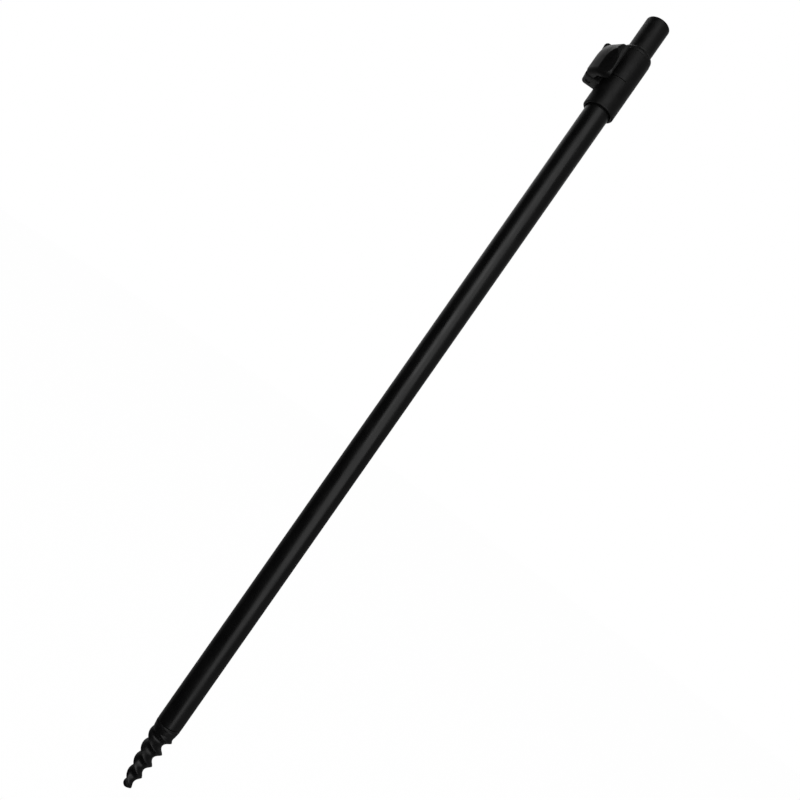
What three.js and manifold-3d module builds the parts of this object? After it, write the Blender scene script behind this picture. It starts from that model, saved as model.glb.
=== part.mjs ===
// A telescopic bank stick: a screw-in ground point, an outer tube, a clamp collar with a flip lever,
// and an inner tube whose head takes a threaded rod rest.
// Millimetres, +Z up the stick, origin at the very tip of the point. The collar's lug faces -X.
import * as THREE from "three";
import { mergeVertices } from "three/addons/utils/BufferGeometryUtils.js";
import Module from "manifold-3d";

const wasm = await Module();
wasm.setup();

// Clearances
const fitGap = 0.3; // between pieces that seat or slide on each other
const cutOverrun = 2; // how far a cutting shape runs past what it cuts
const weldDistance = 0.00001; // corners this close are one corner

// Facets round a circle
const largeSegments = 64;
const smallSegments = 32;
const arcSteps = 5; // along one rounded stretch of an outline
const leverRings = 12; // outlines between the lever's back and its front
const dishSegments = 160; // the dish is a small part of a large round

// Outer tube
const tubeOuterDiameter = 16;
const tubeWall = 0.9;
const tubeLength = 457.1;
const edgeChamfer = 0.5;

// Screw point
const pointLength = 46.7; // tip to the shoulder's top, all that stands below the tube
const pointLead = 18.08; // rise of one full turn of the twisted bar
const pointStartTurnShare = 0.459; // how far round the bar stands at its tip
const pointCrestRadius = 8.2; // half width of the bar across its flights, at the shoulder
const pointTipRadius = 2.4;
const pointTaperPowerShare = 0.62; // under 1, the taper is fuller near the tip
const pointThicknessShare = 0.56; // half thickness of the bar, of its half width
const pointRoundHeight = 3; // plain round above the flights
const pointShoulderLength = 7.2; // where the flights run out into the round shoulder
const pointNoseLength = 2.6; // ground tip
const pointNosePowerShare = 0.6; // under 1, the tip is blunter
const pointNoseFallShare = 0.6; // how fast the nose's first rise dies away
const shankRadius = 4.1;
const shankLength = 22;
const pointRingStep = 0.95;
const pointRingPoints = 24;

// Socket that holds the point's shank in the tube
const socketWallClear = 3; // how far the socket runs past the shank's end

// Collar
const collarOuterDiameter = 20.4;
const collarHeight = 38.6;
const collarTubeSeat = 12.8; // how much of the tube's end the collar holds
const collarEdgeRadius = 0.8;
const slitWidth = 0.4;
const slitHeight = 19.5; // above the collar's lower edge
const slitReach = 3.6; // how far past the stick's axis it runs
const lugReach = 19.5; // from the stick's axis
const lugThickness = 9.6;
const lugRise = 12; // lug's underside above the collar's lower edge
const lugDrop = 3.1; // lug's upper side below the collar's upper edge
const lugCornerRadius = 2.4;
const knuckleThickness = 2.6;
const lugBackWall = 1;

// Collar bush
const bushFlangeHeight = 2.8;
const bushFlangeInset = 0.25; // the flange's edge lies this far inside the collar's side
const bushFlangeRadius = 1.8; // rounding of its upper edge
const bushWindowMargin = 1.2; // wall left above and below the pad

// Lever
const pinInset = 4; // pin's axis inside the lug's outer side
const pinRadius = 1.5;
const hubRadius = 3;
const camLift = 0.4;
const camLobeRadius = 2.8;
const leverRise = 0.4; // lever's lower edge above the lug's underside
const leverDrop = 2.5; // lever's upper edge below the lug's upper side
const leverProud = 0.25; // outer side past the lug's outer side
const leverFootCornerRadius = 3.3; // lower outer corner, seen from the front
const leverCrownWidth = 4.2; // upper outer corner, seen from the front
const leverCrownHeight = 10;
const leverWidth = 13.55; // outer side to free edge
const leverTailDepth = 18.2; // front of the free edge, in front of the stick's axis
const leverSweep = 8.8; // how far the outer side moves in on its way to the front
const leverSweepPowerShare = 1.35; // power of its depth: 1 is a flat outer side, more bends it
const leverFootRound = 3.4; // rounding of the front's lower end
const leverTopRound = 0.7; // rounding of the front's upper end
const leverRidgeInset = 5.75; // ridge between outer side and dish, from the outer side
const leverRidgeSetback = 2; // ridge behind the free edge's front
const leverLipWidth = 1.9;
const leverLipStep = 0.45; // how far the lip stands out of the dish
const leverLipDepth = 2.6;
const leverLipSlope = 1.6; // the lip's back moves this far back on its way in
const leverBackSlope = 1.2; // inner side moves this far in on its way back
const leverBackDepth = 6.4; // inner side's bend behind the free edge's front
const leverThroatWidth = 6.2; // outer side to inner side, at the lever's back
const dishInset = 10.65; // dish's centre outside the outer side
const dishAhead = 32.6; // dish's centre in front of the free edge
const dishRise = 1.3; // dish's centre above the lever's lower edge
const dishRadius = 40;
const dishHeight = 52;
const leverWebWidth = 3.4;
const leverFrontGap = 1.2; // lever's back to the lug's front

// Pressure pad
const padWidth = 7;
const padInset = 0.85; // pad's ends inside the lug's recess

// Inner tube
const innerOuterDiameter = 12.6;
const innerWall = 0.9;

// Head and its threaded insert
const headDiameter = 15.6;
const headHeight = 21.3;
const headChamfer = 0.7;
const headSkirt = 8.5; // how much of the inner tube's end the head holds
const socketRadius = 4.05;
const socketDepth = 11.5;
const insertWall = 1.3;
const insertFloor = 1;
const insertFlangeRadius = 6.3;
const insertFlangeHeight = 1.2;
const socketChamfer = 0.6;

// Inner tube's lower end
const plugStem = 14;
const plugFlange = 2;
const plugNeckRadius = 4.2;
const guideRingHeight = 7;
const guideRingSplit = 1.2;
const retainerHeight = 1.6;
const plugTail = 1.2; // neck left below the retainer
const retainerGrip = 0.7; // how far the retainer stands out past the guide ring's bore
const stowClearance = 72; // from the point's socket up to the plug, with the stick closed

// Heights and radii that follow from the sizes above
const tubeRadius = tubeOuterDiameter / 2;
const tubeBore = tubeRadius - tubeWall;
const tubeFoot = pointLength + fitGap;
const pointFlightsLength = pointLength - pointRoundHeight;
const tubeTop = tubeFoot + tubeLength;
const collarRadius = collarOuterDiameter / 2;
const pinOffset = lugReach - pinInset;
const leverHeelReach = lugReach + leverProud;
const collarBore = tubeRadius + fitGap;
const collarFoot = tubeTop - collarTubeSeat;
const collarTop = collarFoot + collarHeight;
const lugFoot = collarFoot + lugRise;
const lugTop = collarTop - lugDrop;
const lugFront = lugThickness / 2;
const recessFoot = lugFoot + knuckleThickness;
const recessTop = lugTop - knuckleThickness;
const hubFoot = recessFoot + fitGap;
const hubTop = recessTop - fitGap;
const leverFoot = lugFoot + leverRise;
const leverTop = lugTop - leverDrop;
const padFoot = recessFoot + padInset;
const padTop = recessTop - padInset;
const innerRadius = innerOuterDiameter / 2;
const innerBore = innerRadius - innerWall;
const bushFoot = tubeTop + fitGap;
const bushBore = innerRadius + fitGap;
const bushRadius = collarBore - fitGap;
const flangeFoot = collarTop + fitGap;
const flangeTop = flangeFoot + bushFlangeHeight;
const flangeRadius = collarRadius - bushFlangeInset;
const headFoot = flangeTop + fitGap;
const headTop = headFoot + headHeight;
const headRadius = headDiameter / 2;
const headBore = innerRadius + fitGap;
const innerTop = headFoot + headSkirt;
const insertFoot = headTop - socketDepth - insertFloor;
const insertRadius = socketRadius + insertWall;
const socketTop = tubeFoot + shankLength + socketWallClear;
const neckFoot = socketTop + stowClearance;
const retainerFoot = neckFoot + plugTail;
const retainerTop = retainerFoot + retainerHeight;
const guideFoot = retainerTop + fitGap;
const guideTop = guideFoot + guideRingHeight;
const plugShoulder = guideTop + fitGap;
const innerFoot = plugShoulder + plugFlange + fitGap;
const camReach = hubRadius + camLift;
const padBack = pinOffset - camReach - fitGap; // from the stick's axis

// A closed solid from a three.js geometry.
function solidOf(geometry) {
  const bare = geometry.index ? geometry.toNonIndexed() : geometry.clone();
  bare.deleteAttribute("normal");
  bare.deleteAttribute("uv");
  const merged = mergeVertices(bare, weldDistance);
  return new wasm.Manifold(
    new wasm.Mesh({
      numProp: 3,
      vertProperties: merged.attributes.position.array,
      triVerts: new Uint32Array(merged.index.array),
    }),
  );
}

// A three.js geometry from a solid.
function geometryOf(solid) {
  const mesh = solid.getMesh();
  const geometry = new THREE.BufferGeometry();
  geometry.setAttribute("position", new THREE.BufferAttribute(mesh.vertProperties, mesh.numProp));
  geometry.setIndex(new THREE.BufferAttribute(mesh.triVerts, 1));
  return geometry;
}

// A solid turned about Z. The profile is [radius, height] pairs that go round counter-clockwise.
function turned(profile, segments) {
  const points = profile.map(([radius, height]) => new THREE.Vector2(radius, height));
  points.push(points[0].clone());
  const geometry = new THREE.LatheGeometry(points, segments);
  geometry.rotateX(Math.PI / 2);
  return solidOf(geometry);
}

// A plain ring.
function ring(bore, radius, foot, top, segments) {
  return turned([[bore, foot], [radius, foot], [radius, top], [bore, top]], segments);
}

function block(minX, maxX, minY, maxY, minZ, maxZ) {
  const geometry = new THREE.BoxGeometry(maxX - minX, maxY - minY, maxZ - minZ);
  geometry.translate((minX + maxX) / 2, (minY + maxY) / 2, (minZ + maxZ) / 2);
  return solidOf(geometry);
}

// A rounded rectangle as an outline.
function roundedOutline(minX, maxX, minY, maxY, radius) {
  const quarter = Math.PI / 2;
  const shape = new THREE.Shape();
  shape.absarc(maxX - radius, minY + radius, radius, -quarter, 0);
  shape.absarc(maxX - radius, maxY - radius, radius, 0, quarter);
  shape.absarc(minX + radius, maxY - radius, radius, quarter, 2 * quarter);
  shape.absarc(minX + radius, minY + radius, radius, 2 * quarter, 3 * quarter);
  return shape;
}

// An outline in X and Y, raised from foot to top.
function raised(shape, foot, top) {
  const geometry = new THREE.ExtrudeGeometry(shape, {
    depth: top - foot,
    bevelEnabled: false,
    curveSegments: arcSteps,
  });
  geometry.translate(0, 0, foot);
  return solidOf(geometry);
}

// An outline in X and Z, carried along Y from front to back.
function carriedBack(shape, front, back) {
  const geometry = new THREE.ExtrudeGeometry(shape, {
    depth: back - front,
    bevelEnabled: false,
    curveSegments: arcSteps,
  });
  geometry.rotateX(Math.PI / 2);
  geometry.translate(0, back, 0);
  return solidOf(geometry);
}

function rod(x, y, radius, foot, top) {
  const geometry = new THREE.CylinderGeometry(radius, radius, top - foot, smallSegments);
  geometry.rotateX(Math.PI / 2);
  geometry.translate(x, y, (foot + top) / 2);
  return solidOf(geometry);
}

function outerTube() {
  const inset = tubeRadius - edgeChamfer;
  return turned(
    [
      [tubeBore, tubeFoot],
      [inset, tubeFoot],
      [tubeRadius, tubeFoot + edgeChamfer],
      [tubeRadius, tubeTop],
      [tubeBore, tubeTop],
    ],
    largeSegments,
  );
}

// Half width of the twisted bar at a height, with its ground nose and its round shoulder.
function pointSection(height) {
  const along = Math.min(height / pointFlightsLength, 1);
  const taper = Math.pow(along, pointTaperPowerShare);
  const crest = pointTipRadius + (pointCrestRadius - pointTipRadius) * taper;
  const rise = Math.min(height / pointNoseLength, 1);
  const blunt = Math.pow(rise, pointNosePowerShare);
  const nose = blunt * (1 + pointNoseFallShare * (1 - rise));
  const runOut = (height - (pointFlightsLength - pointShoulderLength)) / pointShoulderLength;
  const round = THREE.MathUtils.smoothstep(runOut, 0, 1);
  const wide = crest * (1 - round) + tubeRadius * round;
  const thin = crest * pointThicknessShare * (1 - round) + tubeRadius * round;
  return { wide: wide * nose, thin: thin * nose };
}

// The point: a flat bar twisted left-handed, whose section is an oval that turns as it rises.
function screwPoint() {
  const rings = Math.round(pointLength / pointRingStep);
  const positions = [0, 0, 0];
  for (let i = 1; i <= rings; i++) {
    const height = (pointLength * i) / rings;
    const { wide, thin } = pointSection(height);
    const turn = -2 * Math.PI * (height / pointLead + pointStartTurnShare);
    for (let j = 0; j < pointRingPoints; j++) {
      const angle = (2 * Math.PI * j) / pointRingPoints;
      const x = wide * Math.cos(angle);
      const y = thin * Math.sin(angle);
      positions.push(x * Math.cos(turn) - y * Math.sin(turn));
      positions.push(x * Math.sin(turn) + y * Math.cos(turn));
      positions.push(height);
    }
  }
  positions.push(0, 0, pointLength);
  const indices = [];
  for (let j = 0; j < pointRingPoints; j++) {
    const next = (j + 1) % pointRingPoints;
    indices.push(0, 1 + next, 1 + j);
    for (let i = 0; i < rings - 1; i++) {
      const low = 1 + i * pointRingPoints;
      const high = low + pointRingPoints;
      indices.push(low + j, low + next, high + j);
      indices.push(low + next, high + next, high + j);
    }
    const last = 1 + (rings - 1) * pointRingPoints;
    indices.push(last + j, last + next, positions.length / 3 - 1);
  }
  const geometry = new THREE.BufferGeometry();
  geometry.setAttribute("position", new THREE.Float32BufferAttribute(positions, 3));
  geometry.setIndex(indices);
  const shank = rod(0, 0, shankRadius, pointLength - cutOverrun, tubeFoot + shankLength);
  return solidOf(geometry).add(shank);
}

function pointSocket() {
  const bore = shankRadius + fitGap;
  const radius = tubeBore - fitGap;
  return ring(bore, radius, tubeFoot, socketTop, largeSegments);
}

// The lug before its recess is cut: rounded seen from the front and seen from above.
function lugBlock() {
  const inner = -collarBore;
  const side = roundedOutline(-lugReach, inner + lugCornerRadius, lugFoot, lugTop, lugCornerRadius);
  const plan = roundedOutline(
    -lugReach,
    inner + lugCornerRadius,
    -lugFront,
    lugFront,
    lugCornerRadius,
  );
  return carriedBack(side, -lugFront, lugFront).intersect(raised(plan, lugFoot, lugTop));
}

function collar() {
  const inset = collarRadius - collarEdgeRadius;
  const profile = [[collarBore, collarFoot], [inset, collarFoot]];
  for (let i = 1; i <= arcSteps; i++) {
    const angle = (Math.PI / 2) * (i / arcSteps);
    profile.push([
      inset + collarEdgeRadius * Math.sin(angle),
      collarFoot + collarEdgeRadius * (1 - Math.cos(angle)),
    ]);
  }
  profile.push([collarRadius, collarTop], [collarBore, collarTop]);
  const sleeve = turned(profile, largeSegments);
  const bore = rod(0, 0, collarBore, collarFoot - cutOverrun, collarTop + cutOverrun);
  const recess = block(
    -lugReach - cutOverrun,
    -Math.min(collarRadius, padBack),
    -lugFront - cutOverrun,
    lugFront - lugBackWall,
    recessFoot,
    recessTop,
  );
  const window = block(
    -collarRadius - cutOverrun,
    -collarBore + cutOverrun,
    -padWidth / 2 - fitGap,
    padWidth / 2 + fitGap,
    padFoot - fitGap,
    padTop + fitGap,
  );
  const slitFoot = collarFoot + slitHeight - slitWidth / 2;
  const slit = block(
    -collarRadius,
    slitReach,
    -collarRadius - cutOverrun,
    -lugFront,
    slitFoot,
    slitFoot + slitWidth,
  );
  const pinHole = rod(-pinOffset, 0, pinRadius + fitGap, lugFoot - cutOverrun, lugTop + cutOverrun);
  return sleeve
    .add(lugBlock().subtract(bore))
    .subtract(recess)
    .subtract(window)
    .subtract(slit)
    .subtract(pinHole);
}

function collarBush() {
  const inset = flangeRadius - bushFlangeRadius;
  const profile = [
    [bushBore, bushFoot],
    [bushRadius, bushFoot],
    [bushRadius, flangeFoot],
    [flangeRadius, flangeFoot],
  ];
  for (let i = 0; i <= arcSteps; i++) {
    const angle = (Math.PI / 2) * (i / arcSteps);
    profile.push([
      inset + bushFlangeRadius * Math.cos(angle),
      flangeTop - bushFlangeRadius * (1 - Math.sin(angle)),
    ]);
  }
  profile.push([bushBore, flangeTop]);
  const window = block(
    -bushRadius - cutOverrun,
    -bushBore + cutOverrun,
    -padWidth / 2 - fitGap,
    padWidth / 2 + fitGap,
    Math.max(padFoot - fitGap, bushFoot + bushWindowMargin),
    Math.min(padTop + fitGap, flangeFoot - bushWindowMargin),
  );
  return turned(profile, largeSegments).subtract(window);
}

// The lever seen from above: the ridge, the dish's floor, the lip and the hollowed inner side.
function leverPlan() {
  const back = -lugFront - leverFrontGap;
  const outer = -leverHeelReach - cutOverrun;
  const ridge = -leverTailDepth + leverRidgeSetback;
  const edge = -leverHeelReach + leverWidth;
  const lip = edge - leverLipWidth;
  const throat = -leverHeelReach + leverThroatWidth;
  const shape = new THREE.Shape();
  shape.moveTo(outer, back);
  shape.lineTo(outer, ridge);
  shape.lineTo(-leverHeelReach + leverRidgeInset, ridge);
  shape.lineTo(lip, -leverTailDepth + leverLipStep);
  shape.lineTo(lip, -leverTailDepth);
  shape.quadraticCurveTo(edge, -leverTailDepth, edge, -leverTailDepth + leverLipDepth);
  shape.lineTo(lip, -leverTailDepth + leverLipDepth + leverLipSlope);
  shape.lineTo(throat + leverBackSlope, -leverTailDepth + leverBackDepth);
  shape.lineTo(throat, back);
  return shape;
}

// One outline of the lever in X and Z, at a depth in front of its back, as a list of corners.
function leverRing(depth, reach) {
  const left = -leverHeelReach + leverSweep * Math.pow(depth / reach, leverSweepPowerShare);
  const right = -leverHeelReach + leverWidth + cutOverrun;
  const topTurn = Math.max(0, 1 - (reach - depth) / leverTopRound);
  const footTurn = Math.max(0, 1 - (reach - depth) / leverFootRound);
  const top = leverTop - leverTopRound * (1 - Math.sqrt(1 - topTurn * topTurn));
  const foot = leverFoot + leverFootRound * (1 - Math.sqrt(1 - footTurn * footTurn));
  const corners = [];
  for (let i = 0; i <= arcSteps; i++) {
    const angle = (Math.PI / 2) * (i / arcSteps);
    corners.push([
      left + leverFootCornerRadius * (1 - Math.sin(angle)),
      foot + leverFootCornerRadius * (1 - Math.cos(angle)),
    ]);
  }
  for (let i = 0; i <= arcSteps; i++) {
    const angle = (Math.PI / 2) * (i / arcSteps);
    corners.push([
      left + leverCrownWidth * (1 - Math.cos(angle)),
      top - leverCrownHeight * (1 - Math.sin(angle)),
    ]);
  }
  corners.push([right, top], [right, foot]);
  return corners;
}

// The lever's outer form: its outlines set one in front of the other.
function leverForm() {
  const back = -lugFront - leverFrontGap;
  const reach = back + leverTailDepth;
  const positions = [];
  for (let i = 0; i <= leverRings; i++) {
    const turn = (Math.PI / 2) * (i / leverRings);
    const depth = reach * Math.sin(turn);
    for (const [x, z] of leverRing(depth, reach)) {
      positions.push(x, back - depth, z);
    }
  }
  const count = positions.length / 3 / (leverRings + 1);
  const middle = (leverFoot + leverTop) / 2;
  const backCentre = positions.length / 3;
  positions.push(-leverHeelReach + leverWidth, back, middle);
  positions.push(-leverHeelReach + leverWidth, -leverTailDepth, middle);
  const frontRing = leverRings * count;
  const indices = [];
  for (let j = 0; j < count; j++) {
    const next = (j + 1) % count;
    indices.push(backCentre, j, next);
    for (let i = 0; i < leverRings; i++) {
      const near = i * count;
      const far = near + count;
      indices.push(near + j, far + j, near + next);
      indices.push(near + next, far + j, far + next);
    }
    indices.push(frontRing + j, backCentre + 1, frontRing + next);
  }
  const geometry = new THREE.BufferGeometry();
  geometry.setAttribute("position", new THREE.Float32BufferAttribute(positions, 3));
  geometry.setIndex(indices);
  return solidOf(geometry);
}

// What the thumb dish takes out of the lever's outer side.
function dish() {
  const geometry = new THREE.SphereGeometry(1, dishSegments, dishSegments / 2);
  geometry.rotateX(Math.PI / 2);
  geometry.scale(dishRadius, dishRadius, dishHeight);
  geometry.translate(
    -leverHeelReach - dishInset,
    -leverTailDepth - dishAhead,
    leverFoot + dishRise,
  );
  return solidOf(geometry);
}

function hubBody() {
  const lobe = rod(-pinOffset + camReach - camLobeRadius, 0, camLobeRadius, hubFoot, hubTop);
  const half = leverWebWidth / 2;
  const back = -lugFront - leverFrontGap - cutOverrun;
  const web = block(-pinOffset - half, -pinOffset + half, back, 0, hubFoot, hubTop);
  return rod(-pinOffset, 0, hubRadius, hubFoot, hubTop).add(lobe).add(web);
}

function lever() {
  const plan = raised(leverPlan(), leverFoot - cutOverrun, leverTop + cutOverrun);
  const hole = rod(-pinOffset, 0, pinRadius + fitGap, hubFoot - cutOverrun, hubTop + cutOverrun);
  return leverForm().intersect(plan).subtract(dish()).add(hubBody()).subtract(hole);
}

function leverPin() {
  return rod(-pinOffset, 0, pinRadius, lugFoot + fitGap, lugTop - fitGap);
}

// The pad that the cam pushes against the inner tube, hollowed to the tube's own curve.
function pressurePad() {
  const tubeCurve = rod(0, 0, bushBore, padFoot - cutOverrun, padTop + cutOverrun);
  const half = padWidth / 2;
  return block(-padBack, -half, -half, half, padFoot, padTop).subtract(tubeCurve);
}

function innerTube() {
  return ring(innerBore, innerRadius, innerFoot, innerTop, largeSegments);
}

function head() {
  const seat = innerTop + fitGap;
  const bore = insertRadius + fitGap;
  const flangeBore = insertFlangeRadius + fitGap;
  const flangeSeat = headTop - insertFlangeHeight - fitGap;
  return turned(
    [
      [headBore, headFoot],
      [headRadius - headChamfer, headFoot],
      [headRadius, headFoot + headChamfer],
      [headRadius, headTop - headChamfer],
      [headRadius - headChamfer, headTop],
      [flangeBore, headTop],
      [flangeBore, flangeSeat],
      [bore, flangeSeat],
      [bore, seat],
      [headBore, seat],
    ],
    largeSegments,
  );
}

// The threaded socket, drawn at its thread's crest.
function headInsert() {
  return turned(
    [
      [0, insertFoot],
      [insertRadius, insertFoot],
      [insertRadius, headTop - insertFlangeHeight],
      [insertFlangeRadius, headTop - insertFlangeHeight],
      [insertFlangeRadius, headTop],
      [socketRadius + socketChamfer, headTop],
      [socketRadius, headTop - socketChamfer],
      [socketRadius, headTop - socketDepth],
      [0, headTop - socketDepth],
    ],
    smallSegments,
  );
}

function innerPlug() {
  const stemRadius = innerBore - fitGap;
  return turned(
    [
      [0, neckFoot],
      [plugNeckRadius, neckFoot],
      [plugNeckRadius, plugShoulder],
      [innerRadius, plugShoulder],
      [innerRadius, plugShoulder + plugFlange],
      [stemRadius, plugShoulder + plugFlange],
      [stemRadius, innerFoot + plugStem],
      [0, innerFoot + plugStem],
    ],
    smallSegments,
  );
}

function guideRing() {
  const bore = plugNeckRadius + fitGap;
  const radius = tubeBore - fitGap;
  const split = block(
    0,
    radius + cutOverrun,
    -guideRingSplit / 2,
    guideRingSplit / 2,
    guideFoot - cutOverrun,
    guideTop + cutOverrun,
  );
  return ring(bore, radius, guideFoot, guideTop, largeSegments).subtract(split);
}

function guideRetainer() {
  const bore = plugNeckRadius + fitGap;
  return ring(bore, bore + retainerGrip, retainerFoot, retainerTop, smallSegments);
}

// Materials
const paint = { color: 0x121214, roughness: 0.42, metalness: 0.3 };
const moulded = { color: 0x0e0e10, roughness: 0.5, metalness: 0 };
const steel = { color: 0x9a9ca0, roughness: 0.35, metalness: 1 };
const brass = { color: 0xb08d4a, roughness: 0.3, metalness: 1 };
const nylon = { color: 0x1a1a1c, roughness: 0.55, metalness: 0 };

const stick = new THREE.Group();

// One named mesh in its own material.
function place(name, solid, finish) {
  const mesh = new THREE.Mesh(geometryOf(solid), new THREE.MeshStandardMaterial(finish));
  mesh.name = name;
  stick.add(mesh);
}

place("outer_tube", outerTube(), paint);
place("screw_point", screwPoint(), paint);
place("point_socket", pointSocket(), steel);
place("collar", collar(), moulded);
place("collar_bush", collarBush(), nylon);
place("lever", lever(), moulded);
place("lever_pin", leverPin(), steel);
place("pressure_pad", pressurePad(), nylon);
place("inner_tube", innerTube(), paint);
place("head", head(), paint);
place("head_insert", headInsert(), brass);
place("inner_plug", innerPlug(), nylon);
place("guide_ring", guideRing(), nylon);
place("guide_retainer", guideRetainer(), steel);

export default stick;
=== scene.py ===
"""Finished surfaces, materials and studio for a telescopic bank stick.

Everything is in metres, +Z up the stick, with the origin at the tip of the screw point. Sizes are
typed in millimetres, through length() and mm().
"""

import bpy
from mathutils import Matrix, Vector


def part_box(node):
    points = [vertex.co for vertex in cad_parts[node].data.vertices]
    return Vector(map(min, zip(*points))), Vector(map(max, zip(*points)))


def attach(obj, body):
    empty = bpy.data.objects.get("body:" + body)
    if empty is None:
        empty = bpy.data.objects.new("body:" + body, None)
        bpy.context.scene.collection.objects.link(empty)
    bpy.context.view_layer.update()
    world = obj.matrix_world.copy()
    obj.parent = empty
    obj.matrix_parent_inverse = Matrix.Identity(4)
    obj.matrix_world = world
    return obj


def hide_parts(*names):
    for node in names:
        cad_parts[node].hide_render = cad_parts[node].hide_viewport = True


bl_info = {
    "name": "Bank stick",
    "version": (1, 0, 0),
    "blender": (4, 5, 0),
    "location": "View3D > Sidebar > Bank stick",
    "description": "Builds the finished surfaces of a telescopic bank stick around its frame",
    "category": "Object",
}

import math

import bmesh
import bpy
import numpy as np
from bpy.props import FloatProperty, FloatVectorProperty, IntProperty, PointerProperty
from mathutils import Matrix

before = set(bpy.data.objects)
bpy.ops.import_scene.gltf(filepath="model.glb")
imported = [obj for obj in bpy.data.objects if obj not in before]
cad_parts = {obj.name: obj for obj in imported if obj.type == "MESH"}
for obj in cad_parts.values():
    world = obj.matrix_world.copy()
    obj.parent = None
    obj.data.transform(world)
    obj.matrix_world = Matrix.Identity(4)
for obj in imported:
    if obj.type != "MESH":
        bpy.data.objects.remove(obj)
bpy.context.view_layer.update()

TURN = 2 * math.pi

# Points nearer to each other than this, in metres, are made one.
WELD = 1e-7

# The straight kept beside an arc, of the arc's radius, and what an edge's mark keeps at each step.
HOLD_SHARE = 0.2
EDGE_FADE_SHARE = 0.75

# What part of a noise, or of the edge attribute, a finish spreads over 0 to 1.
NOISE_RANGE = (0.3, 0.7)
BROKEN_RANGE = (0.42, 0.66)
EDGE_RANGE = (0.35, 1.0)
DUST_RANGE = (0.5, 0.8)

# How fine each noise is, and the mottle's scale as a share of the grain's.
GRAIN_DETAIL = 3
MOTTLE_DETAIL = 2
RUB_DETAIL = 4
DUST_DETAIL = 6
MOTTLE_SCALE_SHARE = 0.06


def mm(value):
    """Millimetres as metres."""
    return value * 0.001


def sizes():
    """The scene's sizes."""
    return bpy.context.scene.bank_stick_sizes


def finishes():
    """The scene's colours, roughness and grain."""
    return bpy.context.scene.bank_stick_finishes


def studio():
    """The scene's lamps and camera values."""
    return bpy.context.scene.bank_stick_studio


def length(name, description, default):
    return FloatProperty(name=name, description=description, default=mm(default), unit="LENGTH", precision=5)


def share(name, description, default):
    return FloatProperty(name=name, description=description, default=default, subtype="FACTOR", min=0, max=1)


def count(name, description, default):
    return IntProperty(name=name, description=description, default=default, min=2)


def power(name, description, default):
    return FloatProperty(name=name, description=description, default=default, min=0)


def level(name, description, default):
    return FloatProperty(name=name, description=description, default=default)


def spot(name, description, default):
    return FloatVectorProperty(
        name=name, description=description, default=default, subtype="XYZ", unit="LENGTH", size=3
    )


def colour(name, description, default):
    return FloatVectorProperty(
        name=name, description=description, default=default, subtype="COLOR", size=3, min=0, max=1
    )


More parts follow.
